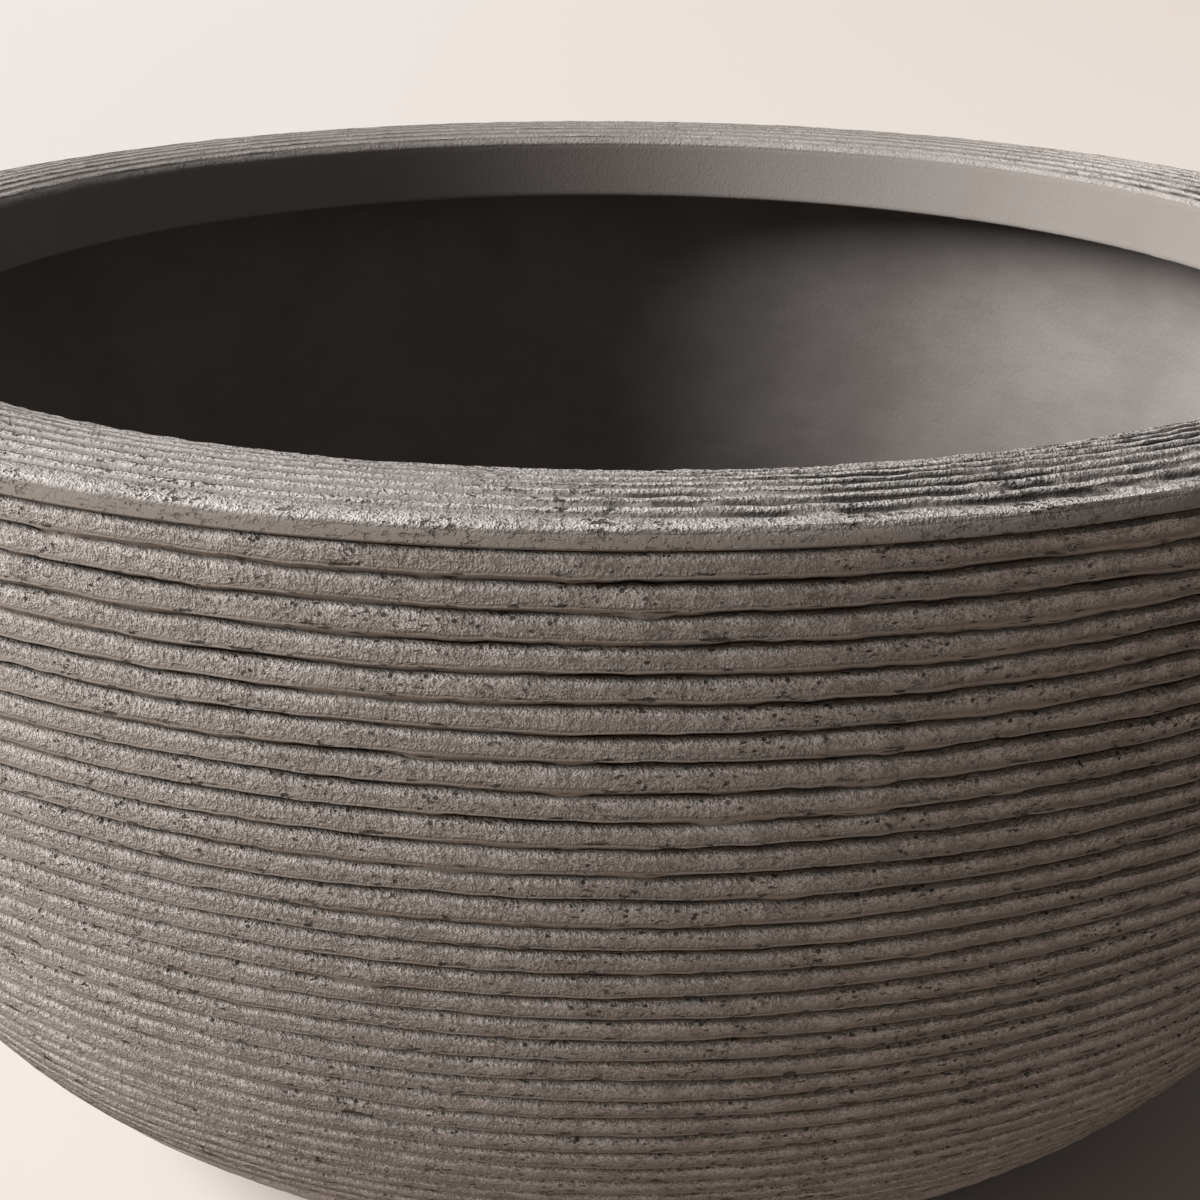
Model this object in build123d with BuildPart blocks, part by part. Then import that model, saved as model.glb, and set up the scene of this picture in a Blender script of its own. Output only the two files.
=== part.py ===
from build123d import *
import math
import os

# Round bowl planter moulded in fibre reinforced clay, with a rolled-in rim and a combed wall,
# and the rubber stopper of its drain hole. The origin is on the floor at the centre of the foot,
# +Z is up, and all sizes are in millimetres.

# Bowl, outside
height = 235.0  # floor to the crest of the rim
outer_radius = 250.0  # widest radius, at the upright top of the wall
upright_height = 29.0  # straight stretch of wall under the rim's shoulder
upper_belly_radius = 341.0  # slow curve below the upright stretch
upper_belly_turn = 18.3  # degrees turned by the slow curve
foot_radius = 147.0  # where the lower curve of the belly ends, above the foot ring

# Bowl, inside
wall_thickness = 11.0
floor_thickness = 13.0
inner_stretch = 25.0  # longest flat stretch in the curve of the inner wall

# Rolled-in rim
rim_width = 39.5  # wall to the inner edge of the rim's top
crest_inset = 20.0  # wall to the circle of the rim's highest points
dome_radius = 50.0  # curve of the rim's top across its width
inner_edge_bevel = 1.5
shoulder_width = 6.0  # sloping shoulder between the rim's top and the wall
shoulder_drop = 6.5  # crest down to the first groove of the wall
lip_height = 25.5  # crest down to the lip's lower edge
lip_lean = 1.6  # how far the lip's lower edge stands in from its top
lip_thickness = 12.0
rim_thickness = 12.0  # clay over the hollow under the rolled rim

# Foot
foot_height = 5.0  # floor up to the end of the belly curve
foot_draft = 1.5  # how far the foot ring narrows towards the floor
foot_width = 20.0  # flat ring that stands on the floor
foot_recess = 4.0  # hollow under the middle of the base
foot_slope = 5.0  # sloping side of that hollow, measured along the floor

# Combed bands: each runs out from its groove to a bead, then steps back into the next groove
band_pitch = 12.18  # from groove to groove along the wall
band_depth = 1.6  # bead to groove
band_step = 1.1  # height of the step under each bead
plain_foot_band = 70.0  # least plain stretch above the foot, measured along the wall
plain_stretch = 16.0  # longest flat stretch in the curve of that plain part

# Drain hole and stopper
drain_radius = 11.0
stopper_clearance = 0.3  # between the stopper's shank and the drain hole
stopper_tip_gap = 2.0  # floor up to the stopper's tip
tip_bevel = 1.5  # guides the stopper's tip into the hole
flange_radius = 18.0
flange_thickness = 3.0
flange_bevel = 1.0
grip_width = 17.0
grip_thickness = 6.0
grip_height = 13.0  # above the flange
grip_bevel = 1.2

# Levels and radii that follow from the sizes above
wall_top = height - shoulder_drop
mouth_radius = outer_radius - rim_width
crest_radius = outer_radius - crest_inset
lip_level = height - lip_height
lip_radius = mouth_radius - lip_lean
floor_level = foot_recess + floor_thickness
inner_radius = outer_radius - wall_thickness
foot_edge = (foot_radius, foot_height)


def upper_wall(inset):
    """The upright stretch and the slow curve under it, moved in from the outside by inset."""
    top = (outer_radius - inset, wall_top)
    upright = Edge.make_line(top, (outer_radius - inset, wall_top - upright_height))
    with BuildLine() as curve:
        JernArc(upright @ 1, upright % 1, upper_belly_radius - inset, -upper_belly_turn)
    return upright, curve.edge()


def on_wall(wall, distance, depth=0):
    """The point that lies distance along the wall from its top and depth into it."""
    surface = wall.position_at(distance, position_mode=PositionMode.LENGTH)
    along = wall.tangent_at(distance, position_mode=PositionMode.LENGTH)
    return surface + Vector(along.Y, -along.X) * depth


def stretches(wall, start, end, longest):
    """Evenly spaced points along the wall from start to end, none further apart than longest."""
    count = math.ceil((end - start) / longest)
    return [on_wall(wall, start + (end - start) * i / count) for i in range(count + 1)]


def rim_top(radius):
    """Height of the rim's domed top at a radius."""
    return height - dome_radius + math.sqrt(dome_radius**2 - (radius - crest_radius) ** 2)


# Smooth outline of the wall, outside, which the combed bands follow
upright, slow_curve = upper_wall(0)
with BuildLine() as outer_outline:
    add([upright, slow_curve])
    lower_belly = TangentArc(slow_curve @ 1, foot_edge, tangent=slow_curve % 1)
outer_wall = outer_outline.wire()
band_count = int((outer_wall.length - plain_foot_band) / band_pitch)
combed_length = band_count * band_pitch - band_step

# Smooth outline of the wall, inside, down to the floor
inner_upright, inner_slow_curve = upper_wall(wall_thickness)
inner_belly_radius = lower_belly.radius - wall_thickness
centre_over_floor = lower_belly.arc_center.Y - floor_level
turn_at_floor = math.degrees(math.asin(centre_over_floor / inner_belly_radius))
with BuildLine() as inner_outline:
    add([inner_upright, inner_slow_curve])
    JernArc(
        inner_slow_curve @ 1,
        inner_slow_curve % 1,
        inner_belly_radius,
        upper_belly_turn - turn_at_floor,
    )
inner_wall = inner_outline.wire()

# Planter shell: a bowl with its rim rolled in over the mouth, moulded in one piece
with BuildPart() as planter_shell:
    with BuildSketch(Plane.XZ):
        with BuildLine():
            # Combed wall and plain belly, from the shoulder down to the foot
            bands = [on_wall(outer_wall, 0, band_depth)]
            for i in range(1, band_count):
                bands.append(on_wall(outer_wall, i * band_pitch - band_step))
                bands.append(on_wall(outer_wall, i * band_pitch, band_depth))
            plain = stretches(outer_wall, combed_length, outer_wall.length, plain_stretch)
            # Foot ring, hollow under the base, drain hole and floor
            foot_outer = foot_radius - foot_draft
            foot_inner = foot_outer - foot_width
            base = [
                (foot_outer, 0),
                (foot_inner, 0),
                (foot_inner - foot_slope, foot_recess),
                (drain_radius, foot_recess),
                (drain_radius, floor_level),
            ]
            # Inner wall, from the floor up to the hollow under the rolled rim
            inside = stretches(inner_wall, upright_height, inner_wall.length, inner_stretch)
            # That hollow, between the wall and the lip, and the lip
            hollow_roof = height - rim_thickness
            lip_back = lip_radius + lip_thickness
            rolled = [
                (inner_radius, hollow_roof),
                (lip_back, hollow_roof),
                (lip_back, lip_level),
                (lip_radius, lip_level),
                (mouth_radius, rim_top(mouth_radius)),
            ]
            outline = Polyline(*bands, *plain, *base, *reversed(inside), *rolled)
            # Domed top of the rim and its shoulder
            shoulder_start = outer_radius - shoulder_width
            dome = ThreePointArc(
                outline @ 1, (crest_radius, height), (shoulder_start, rim_top(shoulder_start))
            )
            Polyline(dome @ 1, (outer_radius, wall_top + band_step), outline @ 0)
        make_face()
    revolve(axis=Axis.Z)
    rings = planter_shell.edges().filter_by(GeomType.CIRCLE)
    inner_edge = rings.filter_by(lambda ring: abs(ring.radius - mouth_radius) < 0.01)
    chamfer(inner_edge, inner_edge_bevel)

# Drain stopper: a rubber shank, a flange that lies on the floor, and a fin to pull it by
with BuildPart() as drain_stopper:
    with Locations((0, 0, stopper_tip_gap)):
        Cylinder(
            drain_radius - stopper_clearance,
            floor_level - stopper_tip_gap,
            align=(Align.CENTER, Align.CENTER, Align.MIN),
        )
    tip = drain_stopper.faces().sort_by(Axis.Z)[0]
    chamfer(tip.edges(), tip_bevel)
    with BuildSketch(Plane.XY.offset(floor_level)):
        Circle(flange_radius)
    extrude(amount=flange_thickness)
    flange_top = drain_stopper.faces().sort_by(Axis.Z)[-1]
    chamfer(flange_top.edges(), flange_bevel)
    with BuildSketch(Plane.XZ):
        with BuildLine():
            grip_base = floor_level + flange_thickness - flange_bevel
            grip_top = floor_level + flange_thickness + grip_height
            side_top = grip_top - grip_width / 2
            Polyline(
                (-grip_width / 2, side_top),
                (-grip_width / 2, grip_base),
                (grip_width / 2, grip_base),
                (grip_width / 2, side_top),
            )
            ThreePointArc((grip_width / 2, side_top), (0, grip_top), (-grip_width / 2, side_top))
        make_face()
    extrude(amount=grip_thickness / 2, both=True)
    over_side_top = drain_stopper.edges().filter_by_position(
        Axis.Z, side_top, grip_top, inclusive=(False, True)
    )
    chamfer(over_side_top, grip_bevel)

os.makedirs("parts", exist_ok=True)
planter_shell.part.label = "planter_shell"
export_step(planter_shell.part, "parts/planter_shell.step")
drain_stopper.part.label = "drain_stopper"
export_step(drain_stopper.part, "parts/drain_stopper.step")
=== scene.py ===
"""Looks of a round clay bowl planter: its combed wall, rolled rim, smooth inside and drain stopper.

Every length is in metres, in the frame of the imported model: the origin is on the floor at the centre
of the foot, +Z is up, and the camera looks along +Y.
"""

import logging
import math
from dataclasses import dataclass
from enum import Enum

import bpy
import numpy as np
from mathutils import Matrix, Vector

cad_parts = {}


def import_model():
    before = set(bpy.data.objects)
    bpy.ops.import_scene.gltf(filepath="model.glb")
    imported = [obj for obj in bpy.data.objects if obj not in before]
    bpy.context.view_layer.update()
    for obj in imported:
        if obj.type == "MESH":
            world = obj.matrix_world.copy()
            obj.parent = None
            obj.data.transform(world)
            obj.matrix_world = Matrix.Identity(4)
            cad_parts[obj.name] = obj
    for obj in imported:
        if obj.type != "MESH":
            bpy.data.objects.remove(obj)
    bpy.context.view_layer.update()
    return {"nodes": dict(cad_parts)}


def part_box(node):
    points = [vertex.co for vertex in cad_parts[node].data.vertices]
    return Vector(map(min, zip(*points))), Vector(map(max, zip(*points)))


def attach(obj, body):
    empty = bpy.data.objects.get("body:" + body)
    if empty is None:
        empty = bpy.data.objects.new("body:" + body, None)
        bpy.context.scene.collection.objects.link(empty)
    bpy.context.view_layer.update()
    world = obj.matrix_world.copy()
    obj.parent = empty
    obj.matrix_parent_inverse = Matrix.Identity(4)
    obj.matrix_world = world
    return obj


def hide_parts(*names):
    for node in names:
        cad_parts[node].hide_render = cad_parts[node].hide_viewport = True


log = logging.getLogger("planter")

MM = 0.001
ROUND_STEPS = 960  # segments of each ring of clay round the bowl
INSIDE_STEPS = 256  # segments of the smooth inside
DOUBLINGS = 5  # a ring's first sector is spun, then copied and turned this many times
LATTICE_ROWS = 64  # cells of the noise across the bands before it repeats
MERGE_DISTANCE = 0.01 * MM  # points of neighbouring sectors this near become one
SHARP_ANGLE = math.radians(50)  # edges bent by more than this stay sharp
SHOULDER_DROP = 6.5 * MM  # rim's crest down to the wall's first groove


class Body(Enum):
    """The rigid bodies that pieces ride on."""

    SHELL = "shell"
    STOPPER = "stopper"


class Slot(Enum):
    """The record's material slots."""

    CLAY = "shell_clay"
    RUBBER = "stopper_rubber"


class Expr:
    """A number or colour inside a material, so that shader maths reads as plain expressions."""

    def __init__(self, graph: "Graph", socket: bpy.types.NodeSocket) -> None:
        """Keeps the socket and the graph that it belongs to."""
        self.graph = graph
        self.socket = socket

    def __add__(self, other: "Expr | float") -> "Expr":
        """Sum."""
        return self.graph.math("ADD", self, other)

    __radd__ = __add__

    def __sub__(self, other: "Expr | float") -> "Expr":
        """Difference."""
        return self.graph.math("SUBTRACT", self, other)

    def __rsub__(self, other: "Expr | float") -> "Expr":
        """Difference, where this value is the one taken away."""
        return self.graph.math("SUBTRACT", other, self)

    def __mul__(self, other: "Expr | float") -> "Expr":
        """Product."""
        return self.graph.math("MULTIPLY", self, other)

    __rmul__ = __mul__


class Graph:
    """The node tree of one material."""

    def __init__(self, name: str) -> None:
        """Starts an empty material.

        Args:
            name: The material's name.
        """
        self.material = bpy.data.materials.new(name)
        self.material.use_nodes = True
        self.tree = self.material.node_tree
        self.tree.nodes.clear()

    def node(
        self, kind: str, settings: dict | None = None, inputs: dict | None = None
    ) -> bpy.types.Node:
        """Adds a node.

        Args:
            kind: The node's type.
            settings: Properties that are set first.
            inputs: Values, expressions or sockets for its inputs, by name or place.

        Returns:
            The new node.
        """
        node = self.tree.nodes.new(kind)
        for name, value in (settings or {}).items():
            setattr(node, name, value)
        for key, value in (inputs or {}).items():
            self.feed(node.inputs[key], value)
        return node

    def feed(self, socket: bpy.types.NodeSocket, value: object) -> None:
        """Links an expression or a socket to a socket, or sets its value."""
        if isinstance(value, Expr):
            self.tree.links.new(value.socket, socket)
        elif isinstance(value, bpy.types.NodeSocket):
            self.tree.links.new(value, socket)
        else:
            socket.default_value = value

    def math(self, operation: str, a: "Expr | float", b: "Expr | float") -> Expr:
        """A Math node on two values."""
        node = self.node("ShaderNodeMath", {"operation": operation}, {0: a, 1: b})
        return Expr(self, node.outputs[0])

    def ramp(self, value: Expr, low: float, high: float) -> Expr:
        """Smooth step from 0 at low to 1 at high, or falling where low is above high."""
        settings = {"interpolation_type": "SMOOTHSTEP"}
        start, end, first, last = (low, high, 0.0, 1.0) if low < high else (high, low, 1.0, 0.0)
        inputs = {"Value": value, "From Min": start, "From Max": end, "To Min": first, "To Max": last}
        return Expr(self, self.node("ShaderNodeMapRange", settings, inputs).outputs[0])

    def colour(self, factor: "Expr | float", a: object, b: object) -> Expr:
        """Mixes colour a towards colour b."""
        node = self.node("ShaderNodeMix", {"data_type": "RGBA"}, {0: factor, 6: a, 7: b})
        return Expr(self, node.outputs[2])

    def stretched(self, stretch: tuple[float, float, float]) -> bpy.types.NodeSocket:
        """Object coordinates, scaled by axis."""
        coordinates = self.node("ShaderNodeTexCoord")
        mapping = self.node("ShaderNodeMapping", None, {"Vector": coordinates.outputs["Object"]})
        mapping.inputs["Scale"].default_value = stretch
        return mapping.outputs[0]

    def noise(self, size: float, detail: float = 2.0, stretch: tuple = (1.0, 1.0, 1.0)) -> Expr:
        """Noise texture whose features are about size across."""
        inputs = {"Vector": self.stretched(stretch), "Scale": 1 / size, "Detail": detail}
        return Expr(self, self.node("ShaderNodeTexNoise", None, inputs).outputs[0])

    def cells(self, size: float, stretch: tuple = (1.0, 1.0, 1.0)) -> Expr:
        """Distance to the nearest point of a scatter whose points are about size apart."""
        inputs = {"Vector": self.stretched(stretch), "Scale": 1 / size}
        return Expr(self, self.node("ShaderNodeTexVoronoi", None, inputs).outputs[0])

    def attribute(self, name: str) -> Expr:
        """A weight that the mesh carries on its points."""
        return Expr(self, self.node("ShaderNodeAttribute", {"attribute_name": name}).outputs["Fac"])

    def finish(
        self, colour: object, roughness: object, height: Expr | None, relief: float, specular: float
    ) -> bpy.types.Material:
        """Closes the material with a Principled surface.

        Args:
            colour: Base colour.
            roughness: Roughness.
            height: Height of the surface's relief, or None.
            relief: What a height of 1 stands for.
            specular: Strength of the dull highlight.

        Returns:
            The finished material.
        """
        inputs = {"Base Color": colour, "Roughness": roughness}
        shader = self.node("ShaderNodeBsdfPrincipled", None, inputs)
        shader.inputs["Specular IOR Level"].default_value = specular
        if height is not None:
            inputs = {"Strength": 1.0, "Distance": relief, "Height": height}
            bump = self.node("ShaderNodeBump", None, inputs)
            self.feed(shader.inputs["Normal"], bump.outputs[0])
        self.node("ShaderNodeOutputMaterial", None, {"Surface": shader.outputs[0]})
        return self.material


@dataclass(frozen=True)
class CombedClayFinish:
    """Gritty fibre clay of the wall and rim, with smooth brown beads, painted shade in the grooves and
    pits, and painted light and shade on the grain.
    """

    # The first two colours are lit and shaded copies of one sand colour: painted light on the crumbs and
    # painted shade in the gaps between them
    lit_sand: tuple = (0.56, 0.518, 0.498, 1.0)
    shadowed_sand: tuple = (0.24, 0.213, 0.195, 1.0)
    bead: tuple = (0.215, 0.184, 0.161, 1.0)
    # Painted shade: the colour put into the grooves, pits, chips and tears
    painted_crevice_shade: tuple = (0.04, 0.034, 0.03, 1.0)
    grain_size: float = 0.45 * MM
    crumb_size: float = 1.0 * MM
    pit_spacing: float = 2.9 * MM
    relief: float = 1.7 * MM
    chips: float = 0.36  # noise level under which the clay is chipped away and painted dark with shade
    dashes: float = 0.85  # how dark the painted shade in the short tears along the beads is
    bright_from: float = 0.41  # noise level over which the grain turns from the shaded copy to the lit copy
    bright_to: float = 0.59

    def build(self, name: str) -> bpy.types.Material:
        """Builds the material under a name."""
        g = Graph(name)
        # The third weight marks where shade is painted into the grooves
        sandy, bead, groove_shade = (g.attribute(weight) for weight in ("sandy", "bead", "groove_shade"))
        grain = g.noise(self.grain_size, 3.0)
        crumbs = g.noise(self.crumb_size, 3.0, (1.0, 1.0, 0.75))
        patches = g.noise(45 * MM, 3.0)
        drags = g.noise(5 * MM, 3.0, (1.0, 1.0, 0.3))
        clusters = g.ramp(g.noise(16 * MM, 3.0, (1.0, 1.0, 1.8)), 0.42, 0.58)
        pit = g.ramp(g.cells(self.pit_spacing, (1.0, 1.0, 1.2)), 0.2, 0.15)
        chip = g.ramp(g.noise(1.5 * MM, 2.0, (0.8, 0.8, 1.6)), self.chips, self.chips - 0.05)
        dash = g.ramp(g.noise(2.2 * MM, 2.0, (0.5, 0.5, 2.8)), 0.38, 0.33)
        pits = (pit * sandy + chip * (sandy + bead * 0.5)) * (clusters * 0.8 + 0.2)
        pits = pits + dash * bead * self.dashes
        mix = grain * 0.45 + crumbs * 0.35 + drags * 0.2
        # Painted light and shade on the grain: the lit copy on the crumbs, the shaded copy between them and
        # where the clay is less sandy
        light = g.ramp(mix, self.bright_from, self.bright_to) * sandy
        colour = g.colour(light, self.shadowed_sand, self.lit_sand)
        colour = g.colour(bead * 0.8, colour, self.bead)
        colour = g.colour(g.ramp(patches, 0.4, 0.75) * 0.18, colour, self.bead)
        # Painted shade in the grooves, broken up so that it is deep in some places and soft in others, and
        # in the pits, chips and tears
        broken = 0.6 + 0.4 * g.ramp(g.noise(11 * MM, 3.0, (1.0, 1.0, 2.0)), 0.4, 0.6)
        colour = g.colour(g.ramp(groove_shade * broken + pits, 0.2, 0.95) * 0.88, colour, self.painted_crevice_shade)
        rough_part = 0.08 + sandy * 0.92
        height = (grain * 0.6 + crumbs * 0.75) * rough_part - pits * 0.6
        return g.finish(colour, 0.95, height, self.relief, 0.15)


@dataclass(frozen=True)
class SmoothClayFinish:
    """Trowelled fibre clay of the inside, with soft mottling."""

    light: tuple = (0.208, 0.19, 0.183, 1.0)
    dark: tuple = (0.172, 0.156, 0.148, 1.0)
    relief: float = 0.25 * MM

    def build(self, name: str) -> bpy.types.Material:
        """Builds the material under a name."""
        g = Graph(name)
        mottle = g.noise(38 * MM, 4.0)
        wipes = g.noise(16 * MM, 3.0, (1.0, 1.0, 2.5))
        grain = g.noise(1.4 * MM, 3.0)
        tone = g.ramp(mottle * 0.6 + wipes * 0.3 + grain * 0.1, 0.36, 0.64)
        return g.finish(g.colour(tone, self.dark, self.light), 0.9, grain + wipes, self.relief, 0.2)


@dataclass(frozen=True)
class RubberFinish:
    """Matt moulded rubber with a fine bloom of dust."""

    rubber: tuple = (0.028, 0.027, 0.026, 1.0)
    dust: tuple = (0.085, 0.078, 0.07, 1.0)
    relief: float = 0.08 * MM

    def build(self, name: str) -> bpy.types.Material:
        """Builds the material under a name."""
        g = Graph(name)
        bloom = g.ramp(g.noise(7 * MM, 4.0), 0.45, 0.75)
        grain = g.noise(0.5 * MM, 2.0)
        roughness = 0.55 + bloom * 0.3
        colour = g.colour(bloom * 0.6, self.rubber, self.dust)
        return g.finish(colour, roughness, grain, self.relief, 0.4)


class RingNoise:
    """Smooth seeded noise from -1 to 1 that closes on itself round the bowl."""

    def __init__(self, seed: int, round_cells: int, along_cell: float) -> None:
        """Draws the noise's lattice.

        Args:
            seed: Seed of the random draw.
            round_cells: How many cells there are round the bowl.
            along_cell: Length of a cell across the bands.
        """
        self.lattice = np.random.default_rng(seed).uniform(-1, 1, (LATTICE_ROWS, round_cells))
        self.along_cell = along_cell

    def at(self, turn: np.ndarray, along: np.ndarray) -> np.ndarray:
        """The noise at places given by a share of a turn and a length across the bands."""
        rows, cells = self.lattice.shape
        x, y = turn * cells, along / self.along_cell
        column, row = np.floor(x).astype(int), np.floor(y).astype(int)
        fx, fy = ((t * t * (3 - 2 * t)) for t in (x - column, y - row))
        here, right = column % cells, (column + 1) % cells
        low, high = self.lattice[row % rows], self.lattice[(row + 1) % rows]
        index = np.arange(len(x))
        bottom = low[index, here] * (1 - fx) + low[index, right] * fx
        top = high[index, here] * (1 - fx) + high[index, right] * fx
        return bottom * (1 - fy) + top * fy


@dataclass(frozen=True)
class WallCurve:
    """Outline of the bowl's wall, measured along it from its top."""

    outer_radius: float
    top: float
    upright: float = 29.0 * MM
    upper_radius: float = 341.0 * MM
    upper_turn: float = math.radians(18.3)
    lower_radius: float = 138.96 * MM
    length: float = 264.7 * MM

    def place(self, along: np.ndarray, depth: np.ndarray) -> tuple[np.ndarray, np.ndarray]:
        """Radius and height of points on the wall.

        Args:
            along: Distance of each point along the wall.
            depth: How far each point lies inside the wall's surface.

        Returns:
            Their radii and their heights.
        """
        slow = np.clip(along - self.upright, 0, self.upper_radius * self.upper_turn)
        quick = np.clip(along - self.upright - self.upper_radius * self.upper_turn, 0, None)
        first = slow / self.upper_radius
        angle = first + quick / self.lower_radius
        radius = self.outer_radius - self.upper_radius * (1 - np.cos(first))
        radius = radius - self.lower_radius * (np.cos(first) - np.cos(angle))
        height = self.top - np.clip(along, None, self.upright) - self.upper_radius * np.sin(first)
        height = height - self.lower_radius * (np.sin(angle) - np.sin(first))
        return radius - depth * np.cos(angle), height + depth * np.sin(angle)


@dataclass
class Rows:
    """The points of a section through a ring of clay, in order round the section.

    Each point has its radius and height, how far along the wall or rim it lies, how deep it is cut
    at the ledges, how sandy and bead-like the clay is there, and how much painted groove shade it takes.
    """

    radius: list
    height: list
    along: list
    cut: list
    sandy: list
    bead: list
    groove_shade: list

    @classmethod
    def empty(cls) -> "Rows":
        """A section with no points yet."""
        return cls([], [], [], [], [], [], [])

    def add(
        self,
        place: tuple[float, float],
        along: float = -1.0,
        cut: float = 0.0,
        weights: tuple[float, float, float] = (0.3, 0.0, 0.0),
    ) -> None:
        """Adds a point.

        Args:
            place: Its radius and height.
            along: Its distance along the shaped surface, or below 0 off that surface.
            cut: Its depth at a ledge, as a share of the full depth.
            weights: How sandy and bead-like it is, and how much painted groove shade it takes.
        """
        self.radius.append(float(place[0]))
        self.height.append(float(place[1]))
        self.along.append(along)
        self.cut.append(cut)
        self.sandy.append(weights[0])
        self.bead.append(weights[1])
        self.groove_shade.append(weights[2])


class RingPiece:
    """A closed ring of clay, spun from a section and then shaped by hand-like unevenness."""

    def __init__(self, name: str, rows: Rows, steps: int) -> None:
        """Spins the section.

        Args:
            name: The piece's name.
            rows: Its section.
            steps: Segments round the bowl.
        """
        self.rows = {field: np.array(values) for field, values in vars(rows).items()}
        self.object = self.spin(name, steps)
        mesh = self.object.data
        points = np.zeros(len(mesh.vertices) * 3)
        mesh.vertices.foreach_get("co", points)
        self.points = points.reshape(-1, 3)
        self.row = np.zeros(len(mesh.vertices), dtype=np.int32)
        mesh.attributes["row"].data.foreach_get("value", self.row)
        self.angle = np.arctan2(self.points[:, 1], self.points[:, 0])
        self.turn = (self.angle / math.tau) % 1.0

    def spin(self, name: str, steps: int) -> bpy.types.Object:
        """Lays a circle of edges out as the section and turns it once round the bowl's axis."""
        deselect_all()
        count = len(self.rows["radius"])
        bpy.ops.mesh.primitive_circle_add(vertices=count, radius=10 * MM, fill_type="NOTHING")
        piece = bpy.context.object
        piece.name = piece.data.name = name
        section = np.stack([self.rows["radius"], np.zeros(count), self.rows["height"]], axis=1)
        piece.data.vertices.foreach_set("co", section.ravel())
        row = piece.data.attributes.new("row", "INT", "POINT")
        row.data.foreach_set("value", np.arange(count, dtype=np.int32))
        piece.data.update()
        bpy.ops.object.mode_set(mode="EDIT")
        bpy.ops.mesh.select_all(action="SELECT")
        sector = math.tau / 2**DOUBLINGS
        first_steps = steps // 2**DOUBLINGS
        bpy.ops.mesh.spin(steps=first_steps, angle=sector, center=(0, 0, 0), axis=(0, 0, 1))
        for doubling in range(DOUBLINGS):
            bpy.ops.mesh.select_all(action="SELECT")
            bpy.ops.mesh.duplicate()
            bpy.ops.transform.rotate(
                value=sector * 2**doubling, orient_axis="Z", center_override=(0, 0, 0)
            )
        bpy.ops.mesh.select_all(action="SELECT")
        bpy.ops.mesh.remove_doubles(threshold=MERGE_DISTANCE)
        bpy.ops.mesh.normals_make_consistent(inside=False)
        bpy.ops.object.mode_set(mode="OBJECT")
        return piece

    def of_row(self, field: str) -> np.ndarray:
        """A value of the section for each vertex."""
        return self.rows[field][self.row]

    def set_places(self, radius: np.ndarray, height: np.ndarray) -> None:
        """Moves every vertex to a radius and height, at its own angle."""
        places = np.stack([radius * np.cos(self.angle), radius * np.sin(self.angle), height], axis=1)
        self.object.data.vertices.foreach_set("co", places.ravel())

    def set_weight(self, name: str, values: np.ndarray) -> None:
        """Stores a weight on the vertices for the material."""
        weight = self.object.data.attributes.new(name, "FLOAT", "POINT")
        weight.data.foreach_set("value", np.clip(values, 0, 1).astype(np.float32))

    def dress(self, material: bpy.types.Material, body: Body, node: str) -> None:
        """Smooths the piece, gives it its material and ties it to the frame.

        Args:
            material: Its finish.
            body: The body that it rides on.
            node: The CAD node that it stands for.
        """
        mesh = self.object.data
        mesh.attributes.remove(mesh.attributes["row"])
        mesh.update()
        deselect_all()
        self.object.select_set(True)
        bpy.context.view_layer.objects.active = self.object
        bpy.ops.object.shade_smooth_by_angle(angle=SHARP_ANGLE)
        mesh.materials.append(material)
        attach(self.object, body.value)
        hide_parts(node)
        log.info("piece %s: %d faces", self.object.name, len(mesh.polygons))


def deselect_all() -> None:
    """Deselects every object, so that an operator acts on what is chosen next."""
    bpy.ops.object.select_all(action="DESELECT")


def smooth_step(values: np.ndarray, low: float, high: float) -> np.ndarray:
    """Smooth step of an array from 0 at low to 1 at high."""
    t = np.clip((values - low) / (high - low), 0, 1)
    return t * t * (3 - 2 * t)


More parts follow.
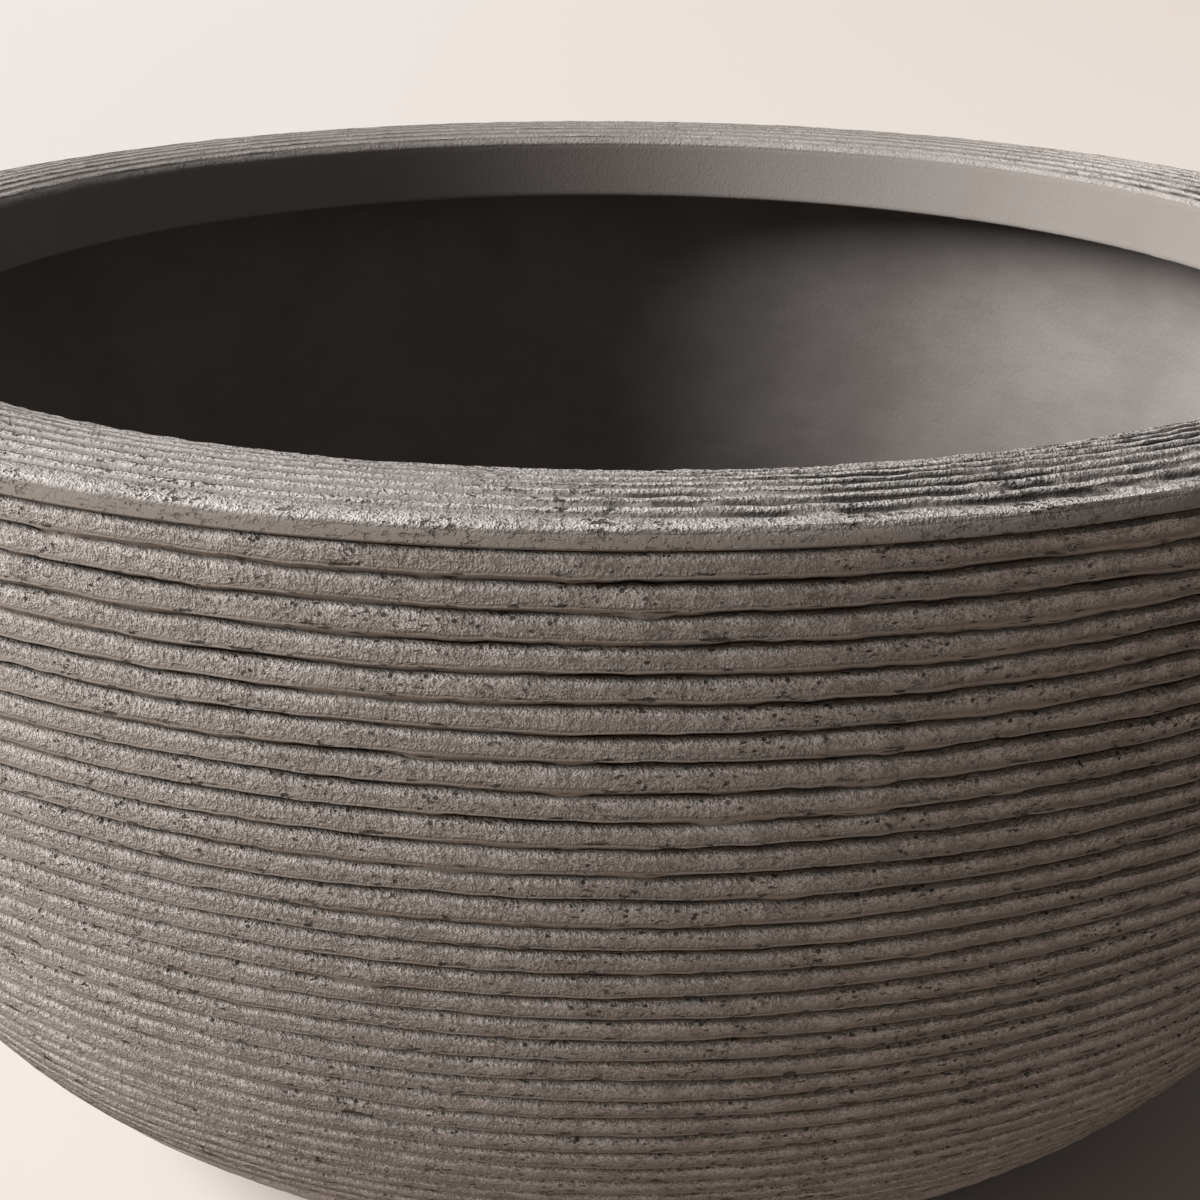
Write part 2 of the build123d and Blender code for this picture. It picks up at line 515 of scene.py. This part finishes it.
@dataclass
class CombedWall:
    """The outside of the bowl: combed bands that step out to a bead over each groove, and the foot."""

    curve: WallCurve
    clay: bpy.types.Material
    pitch: float = 6.09 * MM
    bands: int = 31
    rings: tuple = (
        ("bands_under_rim", 0, 7),
        ("upper_belly_bands", 7, 14),
        ("middle_belly_bands", 14, 20),
        ("lower_belly_bands", 20, 26),
        ("last_bands_and_foot", 26, 31),
    )
    depth: float = 2.1 * MM
    back_depth: float = 6.0 * MM
    wobble: float = 0.6 * MM
    fade_start: float = 165.0 * MM
    fade_end: float = 235.0 * MM
    foot_outer: float = 145.5 * MM
    foot_inner: float = 125.5 * MM
    recess_edge: float = 120.5 * MM
    recess: float = 4.0 * MM
    back_over_foot: float = 10.5 * MM

    # Share of the band, depth as a share of the groove's, and sandy, bead and groove-shade weights; the
    # sandy weight falls down the band to paint shade on its lower part below the lit top, and the
    # groove-shade weight paints shade in the groove
    profile = (
        (0.00, 1.00, (0.1, 0.3, 0.8)),
        (0.04, 0.88, (0.5, 0.2, 0.55)),
        (0.09, 0.54, (0.9, 0.0, 0.2)),
        (0.16, 0.20, (1.0, 0.0, 0.0)),
        (0.29, 0.16, (1.0, 0.0, 0.0)),
        (0.44, 0.28, (0.9, 0.0, 0.0)),
        (0.57, 0.36, (0.8, 0.1, 0.0)),
        (0.65, 0.24, (0.5, 0.6, 0.0)),
        (0.71, 0.05, (0.05, 1.0, 0.0)),
        (0.77, 0.03, (0.0, 1.0, 0.0)),
        (0.84, 0.30, (0.0, 1.0, 0.1)),
        (0.92, 0.74, (0.0, 0.9, 0.4)),
    )

    def section(self, first: int, last: int) -> Rows:
        """The section of one ring, from the groove over its first band to the one under its last."""
        rows = Rows.empty()
        for band in range(first, last):
            for share, cut, weights in self.profile:
                along = (band + share) * self.pitch
                rows.add(self.curve.place(along, self.depth * cut), along, cut, weights)
        end = last * self.pitch
        rows.add(self.curve.place(end, self.depth), end, 1.0, self.profile[0][2])
        if last == self.bands:
            self.add_foot(rows, end)
            end = self.curve.length
        start = first * self.pitch
        for along in np.linspace(end, start, 8):
            rows.add(self.curve.place(along, self.back_depth))
        return rows

    def add_foot(self, rows: Rows, end: float) -> None:
        """Adds the plain belly under the last band, the foot ring and the edge of its recess."""
        for along in np.linspace(end + 0.5 * self.pitch, self.curve.length, 16):
            rows.add(self.curve.place(along, 0.0), along, 0.0, (0.6, 0.2, 0.0))
        rows.add((self.foot_outer + 0.5 * MM, 1.0 * MM))
        rows.add((self.foot_outer - 0.5 * MM, 0.0))
        rows.add((self.foot_inner, 0.0))
        rows.add((self.recess_edge, self.recess))
        rows.add((self.recess_edge, self.back_over_foot))

    def shape(self, ring: RingPiece) -> None:
        """Gives a ring the wandering grooves, broken ledges and crumbly clay of hand combing."""
        along, cut, turn = ring.of_row("along"), ring.of_row("cut"), ring.turn
        shaped = along >= 0
        wander = 0.7 * RingNoise(1, 36, self.pitch).at(turn, along)
        wander += 0.35 * RingNoise(2, 150, 0.8 * self.pitch).at(turn, along)
        wander += 0.4 * RingNoise(8, 420, 0.5 * self.pitch).at(turn, along)
        wander *= smooth_step(self.fade_end + 30 * MM - along, 0, 30 * MM)
        wander[along <= 0] = 0
        breaks = smooth_step(RingNoise(3, 110, 0.9 * self.pitch).at(turn, along), 0.5, 0.85)
        strength = 0.95 + 0.35 * RingNoise(4, 64, self.pitch).at(turn, along) - 0.45 * breaks
        fade = 1 - 0.2 * smooth_step(along, self.fade_start, self.fade_end)
        sandy, bead = ring.of_row("sandy"), ring.of_row("bead")
        crumbs = RingNoise(5, 560, 1.3 * MM).at(turn, along)
        crumbs += 0.6 * RingNoise(6, 300, 2.4 * MM).at(turn, along)
        swell = RingNoise(7, 24, 40 * MM).at(turn, along)
        depth = self.depth * cut * strength * fade + 0.17 * MM * crumbs * (0.2 + sandy)
        depth += 0.2 * MM * swell
        moved = np.where(shaped, along + self.wobble * wander, 0)
        radius, height = self.curve.place(moved, np.where(shaped, depth, 0))
        ring.set_places(
            np.where(shaped, radius, ring.of_row("radius")), np.where(shaped, height, ring.of_row("height"))
        )
        ring.set_weight("sandy", sandy * (0.85 + 0.3 * crumbs))
        ring.set_weight("bead", bead * (0.55 + 0.45 * fade))
        # Painted shade in the grooves, weaker where the combing is shallow
        ring.set_weight("groove_shade", ring.of_row("groove_shade") * strength * fade)

    def build(self) -> None:
        """Builds the rings of the wall."""
        for name, first, last in self.rings:
            ring = RingPiece(name, self.section(first, last), ROUND_STEPS)
            self.shape(ring)
            ring.dress(self.clay, Body.SHELL, "planter_shell")


@dataclass
class RolledRim:
    """The rolled-in rim: lip, domed top with fine combed ridges, and crumbly shoulder."""

    curve: WallCurve
    clay: bpy.types.Material
    crown: float
    first_groove: float
    mouth_radius: float = 210.5 * MM
    lip_radius: float = 208.9 * MM
    lip_back: float = 220.9 * MM
    lip_level: float = 209.5 * MM
    crest_radius: float = 230.0 * MM
    dome_radius: float = 50.0 * MM
    edge_radius: float = 2.0 * MM
    shoulder_radius: float = 243.0 * MM
    hollow_roof: float = 223.0 * MM
    wall_inside: float = 239.0 * MM
    ridges: int = 8
    ridge_depth: float = 1.5 * MM
    strongest: float = math.radians(-25)  # where round the rim the combing is deepest

    # Share of a ridge, depth as a share of the cut between ridges, and the clay's weights; the third weight
    # paints shade in the cuts
    profile = (
        (0.00, 1.00, (0.2, 0.0, 1.0)),
        (0.15, 0.85, (0.3, 0.0, 1.0)),
        (0.27, 0.12, (1.0, 0.0, 0.0)),
        (0.42, 0.00, (1.0, 0.0, 0.0)),
        (0.58, 0.10, (1.0, 0.0, 0.0)),
        (0.72, 0.62, (0.4, 0.0, 0.9)),
        (0.86, 0.92, (0.2, 0.0, 1.0)),
    )

    def top_at(self, radius: float) -> float:
        """Height of the domed top at a radius."""
        drop = self.dome_radius - math.sqrt(self.dome_radius**2 - (radius - self.crest_radius) ** 2)
        return self.crown - drop

    def section(self) -> Rows:
        """The rim's section, from the lip's lower edge over the top to the wall's first groove."""
        rows = Rows.empty()
        plain = (0.03, 0.0, 0.0)
        rows.add((self.lip_back - 4 * MM, self.lip_level))
        rows.add((self.lip_radius + 1.2 * MM, self.lip_level), weights=plain)
        rows.add((self.lip_radius + 0.35 * MM, self.lip_level + 0.25 * MM), weights=plain)
        rows.add((self.lip_radius + 0.05 * MM, self.lip_level + 0.9 * MM), 0.0, 0.0, plain)
        lean = (self.mouth_radius - self.lip_radius) / (self.top_at(self.mouth_radius) - self.lip_level)
        edge_level = self.top_at(self.mouth_radius) - self.edge_radius
        for height in np.linspace(self.lip_level + 2 * MM, edge_level, 12):
            place = (self.lip_radius + lean * (height - self.lip_level), height)
            rows.add(place, height - self.lip_level, 0.0, plain)
        along = edge_level - self.lip_level
        for angle in np.radians((25, 50, 75)):
            radius = self.mouth_radius + self.edge_radius * (1 - math.cos(angle))
            along += 0.8 * MM
            height = edge_level + self.edge_radius * math.sin(angle)
            rows.add((radius, height), along, 0.0, (0.7, 0.0, 0.0))
        inner = self.mouth_radius + self.edge_radius
        ridge = (self.shoulder_radius - inner) / self.ridges
        for i in range(self.ridges):
            for share, cut, weights in self.profile:
                radius = inner + (i + share) * ridge
                rows.add((radius, self.top_at(radius)), along + radius - inner, cut, weights)
        along += self.shoulder_radius - inner
        self.add_shoulder(rows, along)
        rows.add((self.wall_inside, self.first_groove))
        rows.add((self.wall_inside, self.hollow_roof))
        rows.add((self.lip_back, self.hollow_roof))
        rows.add((self.lip_back, self.lip_level))
        return rows

    def add_shoulder(self, rows: Rows, along: float) -> None:
        """Adds the shoulder: a smooth strip, a crumbly fringe and the bead over the first groove."""
        start, outer = self.shoulder_radius, self.curve.outer_radius
        level, end = self.top_at(start), self.first_groove
        # The third weight of each paints shade in the shoulder's groove and fringe
        for share, cut, weights in (
            (0.00, 0.9, (0.6, 0.0, 0.8)),
            (0.10, 0.5, (0.8, 0.0, 0.5)),
            (0.22, 0.4, (0.8, 0.0, 0.5)),
            (0.33, -0.1, (1.0, 0.0, 0.0)),
            (0.42, -0.5, (1.0, 0.0, 0.0)),
            (0.49, 0.1, (0.8, 0.2, 0.2)),
            (0.60, 0.25, (0.1, 0.9, 0.0)),
            (0.76, 0.1, (0.0, 1.0, 0.0)),
            (0.92, 0.0, (0.0, 1.0, 0.1)),
        ):
            angle = share * math.pi / 2
            radius = start + (outer - start) * math.sin(angle)
            height = end + (level - end) * math.cos(angle) ** 0.85
            rows.add((radius, height), along + share * 9 * MM, cut, weights)
        under_bead = self.curve.place(-0.3 * MM, 0.6 * MM)
        rows.add(under_bead, along + 9.5 * MM, 0.0, (0.0, 0.7, 0.6))
        rows.add(self.curve.place(0.0, 1.5 * MM), -1.0, 0.0, (0.2, 0.0, 1.0))

    def shape(self, ring: RingPiece) -> None:
        """Combs the ridges deeper on one side, breaks them up and roughens the clay."""
        along, cut, turn = ring.of_row("along"), ring.of_row("cut"), ring.turn
        shaped = along >= 0
        side = 0.5 + 0.5 * np.cos(ring.angle - self.strongest)
        comb = 0.12 + 0.88 * smooth_step(side, 0.55, 0.95)
        comb = comb * (0.85 + 0.4 * RingNoise(11, 90, 5 * MM).at(turn, along))
        front = smooth_step(-np.sin(ring.angle), -0.6, 0.3)
        sandy = ring.of_row("sandy") * (0.55 + 0.45 * front)
        comb = comb * (1 - 0.6 * smooth_step(RingNoise(15, 260, 3 * MM).at(turn, along), 0.4, 0.8))
        crumbs = RingNoise(12, 600, 1.1 * MM).at(turn, along)
        crumbs += 0.7 * RingNoise(13, 320, 2.2 * MM).at(turn, along)
        depth = self.ridge_depth * cut * comb + 0.2 * MM * crumbs * (0.1 + sandy)
        wander = 0.35 * MM * RingNoise(14, 70, 4 * MM).at(turn, along) * (sandy > 0.5)
        radius = ring.of_row("radius") + np.where(shaped, wander, 0)
        height = ring.of_row("height")
        slope = np.clip((ring.of_row("radius") - self.crest_radius) / self.dome_radius, -0.4, 0.4)
        steep = smooth_step(ring.of_row("radius"), self.shoulder_radius, self.curve.outer_radius - 1 * MM)
        on_lip = height < self.top_at(self.mouth_radius) - self.edge_radius
        out = np.where(on_lip, -1.0, slope + steep * 0.6)
        up = np.where(on_lip, 0.0, 1.0 - steep * 0.9)
        ring.set_places(
            radius - np.where(shaped, depth * out, 0), height - np.where(shaped, depth * up, 0)
        )
        bead = ring.of_row("bead")
        spill = 2.4 * bead * (1 - bead) * RingNoise(16, 280, 6 * MM).at(turn, along)
        ring.set_weight("sandy", sandy * (0.85 + 0.3 * crumbs) + spill)
        ring.set_weight("bead", bead - spill)
        # Painted shade in the cuts between ridges, stronger on the side where the combing is deepest
        ring.set_weight("groove_shade", ring.of_row("groove_shade") * np.where(shaped, 1.6 * comb, 1.0))

    def build(self) -> None:
        """Builds the rim."""
        ring = RingPiece("rolled_rim", self.section(), ROUND_STEPS)
        self.shape(ring)
        ring.dress(self.clay, Body.SHELL, "planter_shell")


@dataclass
class InnerBowl:
    """The smooth inside of the bowl, its floor with the drain hole, and the recess under the base."""

    curve: WallCurve
    clay: bpy.types.Material
    wall: float = 11.0 * MM
    back_depth: float = 6.0 * MM
    floor_level: float = 17.0 * MM
    corner: float = 16.0 * MM  # reach of the soft corner between the wall and the floor
    drain_radius: float = 11.0 * MM
    recess: float = 4.0 * MM
    recess_edge: float = 120.5 * MM
    back_over_foot: float = 10.5 * MM
    unevenness: float = 0.5 * MM

    def section(self) -> Rows:
        """The section, down the inside, across the floor, through the drain hole and back outside."""
        rows = Rows.empty()
        along = 0.0
        radius, height = self.curve.place(np.float64(along), self.wall)
        while height > self.floor_level + 0.45 * self.corner:
            rows.add((radius, height), along)
            along += 5 * MM
            radius, height = self.curve.place(np.float64(along), self.wall)
        bend = (radius - 0.3 * self.corner, self.floor_level)
        flat = (radius - 1.2 * self.corner, self.floor_level)
        for t in np.linspace(0, 1, 7):
            corner = [
                (1 - t) ** 2 * a + 2 * t * (1 - t) * b + t * t * c
                for a, b, c in zip((radius, height), bend, flat)
            ]
            rows.add(corner, along + t * self.corner)
        for radius in np.linspace(flat[0] - 8 * MM, self.drain_radius + 4 * MM, 12):
            rows.add((radius, self.floor_level), along + self.corner)
        rows.add((self.drain_radius + 0.8 * MM, self.floor_level))
        rows.add((self.drain_radius, self.floor_level - 0.8 * MM))
        rows.add((self.drain_radius, self.recess + 0.8 * MM))
        rows.add((self.drain_radius + 0.8 * MM, self.recess))
        for radius in np.linspace(40 * MM, self.recess_edge, 5):
            rows.add((radius, self.recess))
        rows.add((self.recess_edge, self.back_over_foot))
        for along in np.linspace(self.curve.length, 0, 20):
            rows.add(self.curve.place(along, self.back_depth))
        return rows

    def build(self) -> None:
        """Builds the inside, with the slight waves of trowelled clay."""
        ring = RingPiece("inner_bowl", self.section(), INSIDE_STEPS)
        along = ring.of_row("along")
        shaped = (along > 0) & (ring.of_row("height") > self.floor_level + 0.1 * MM)
        wave = RingNoise(21, 18, 45 * MM).at(ring.turn, along)
        wave += 0.3 * RingNoise(22, 60, 14 * MM).at(ring.turn, along)
        ring.set_places(
            ring.of_row("radius") + np.where(shaped, self.unevenness * wave, 0), ring.of_row("height")
        )
        ring.dress(self.clay, Body.SHELL, "planter_shell")


@dataclass
class DrainStopper:
    """The rubber stopper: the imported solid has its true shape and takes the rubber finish."""

    solid: bpy.types.Object

    def build(self) -> None:
        """Gives the stopper its finish."""
        self.solid.data.materials.clear()
        self.solid.data.materials.append(RubberFinish().build(Slot.RUBBER.value))
        log.info("piece %s: %d faces", self.solid.name, len(self.solid.data.polygons))


@dataclass
class Studio:
    """Pale floor, soft light from the left, and the camera."""

    # Painted light and shade: the floor is lighter on the left towards the key and darker and browner to
    # the right
    floor_painted_lit_left: tuple = (0.735, 0.705, 0.69, 1.0)
    floor_painted_shade_right: tuple = (0.678, 0.611, 0.563, 1.0)
    floor_bounce: tuple = (0.5, 0.43, 0.38, 1.0)  # the floor as the clay sees it, browner and darker
    floor_size: float = 24.0
    sky_colour: tuple = (1.0, 0.94, 0.89, 1.0)
    sky_strength: float = 0.11
    key_towards: tuple = (-0.85, -0.09, 0.46)
    key_strength: float = 7.2
    key_colour: tuple = (1.0, 0.985, 0.965)
    key_softness: float = math.radians(39)
    camera_place: tuple = (0.0, -582.0 * MM, 350.8 * MM)
    camera_pitch: float = math.radians(21.55)
    camera_yaw: float = math.radians(-0.358)
    camera_roll: float = math.radians(0.277)
    camera_lens: float = 60.0
    sensor: float = 36.0

    def build_floor(self) -> None:
        """Adds the floor, which is wide enough to fill the view."""
        deselect_all()
        bpy.ops.mesh.primitive_plane_add(size=self.floor_size)
        floor = bpy.context.object
        floor.name = "studio_floor"
        g = Graph("pale_floor")
        place = g.node("ShaderNodeSeparateXYZ", None, {0: g.stretched((1.0, 1.0, 1.0))})
        # Painted light across the floor: the lit colour on the left, the shaded colour on the right
        across = g.ramp(Expr(g, place.outputs["X"]), -1.5, 1.5)
        seen = g.colour(across, self.floor_painted_lit_left, self.floor_painted_shade_right)
        direct = Expr(g, g.node("ShaderNodeLightPath").outputs["Is Camera Ray"])
        colour = g.colour(direct, self.floor_bounce, seen)
        floor.data.materials.append(g.finish(colour, 0.9, None, 0.0, 0.1))

    def build_light(self) -> None:
        """Adds the sky's low fill and the soft key."""
        world = bpy.data.worlds.new("studio_sky")
        bpy.context.scene.world = world
        world.use_nodes = True
        background = world.node_tree.nodes["Background"]
        background.inputs["Color"].default_value = self.sky_colour
        background.inputs["Strength"].default_value = self.sky_strength
        key = bpy.data.lights.new("key", "SUN")
        key.energy = self.key_strength
        key.color = self.key_colour
        key.angle = self.key_softness
        lamp = bpy.data.objects.new("key", key)
        lamp.rotation_euler = Vector(self.key_towards).to_track_quat("Z", "Y").to_euler()
        bpy.context.scene.collection.objects.link(lamp)

    def build_camera(self) -> None:
        """Adds the camera at the photograph's viewing angle."""
        camera = bpy.data.objects.new("camera", bpy.data.cameras.new("camera"))
        camera.data.lens = self.camera_lens
        camera.data.sensor_width = self.sensor
        camera.data.clip_start = 10 * MM
        pitch, yaw, roll = self.camera_pitch, self.camera_yaw, self.camera_roll
        ahead = Vector((math.sin(yaw), math.cos(yaw), 0.0))
        forward = ahead * math.cos(pitch) - Vector((0.0, 0.0, math.sin(pitch)))
        level = Vector((math.cos(yaw), -math.sin(yaw), 0.0))
        above = level.cross(forward)
        right = level * math.cos(roll) + above * math.sin(roll)
        up = above * math.cos(roll) - level * math.sin(roll)
        turn = Matrix((right, up, -forward)).transposed().to_4x4()
        camera.matrix_world = Matrix.Translation(self.camera_place) @ turn
        bpy.context.scene.collection.objects.link(camera)
        bpy.context.scene.camera = camera

    def build(self) -> None:
        """Builds the camera, the floor and the light."""
        self.build_camera()
        self.build_floor()
        self.build_light()
        bpy.context.scene.view_settings.view_transform = "Standard"


def plain(box: tuple) -> list:
    """A box's corners as plain lists of numbers."""
    return [[float(number) for number in corner] for corner in box]


def main() -> None:
    """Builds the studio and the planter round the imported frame."""
    logging.basicConfig(level=logging.INFO, format="%(message)s")
    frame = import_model()
    low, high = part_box("planter_shell")
    crown = high[2]
    first_groove = crown - SHOULDER_DROP
    Studio().build()
    curve = WallCurve(high[0], first_groove)
    combed = CombedClayFinish().build("combed_clay")
    gritty = CombedClayFinish(
        lit_sand=(0.69, 0.65, 0.63, 1.0),
        shadowed_sand=(0.225, 0.204, 0.191, 1.0),
        bead=(0.175, 0.15, 0.131, 1.0),
        pit_spacing=2.3 * MM,
        chips=0.43,
        dashes=0.2,
        bright_from=0.37,
        bright_to=0.53,
    ).build("gritty_rim_clay")
    RolledRim(curve, gritty, crown, first_groove).build()
    CombedWall(curve, combed).build()
    InnerBowl(curve, SmoothClayFinish().build("smooth_clay")).build()
    DrainStopper(frame["nodes"]["drain_stopper"]).build()


if __name__ == "__main__":
    main()
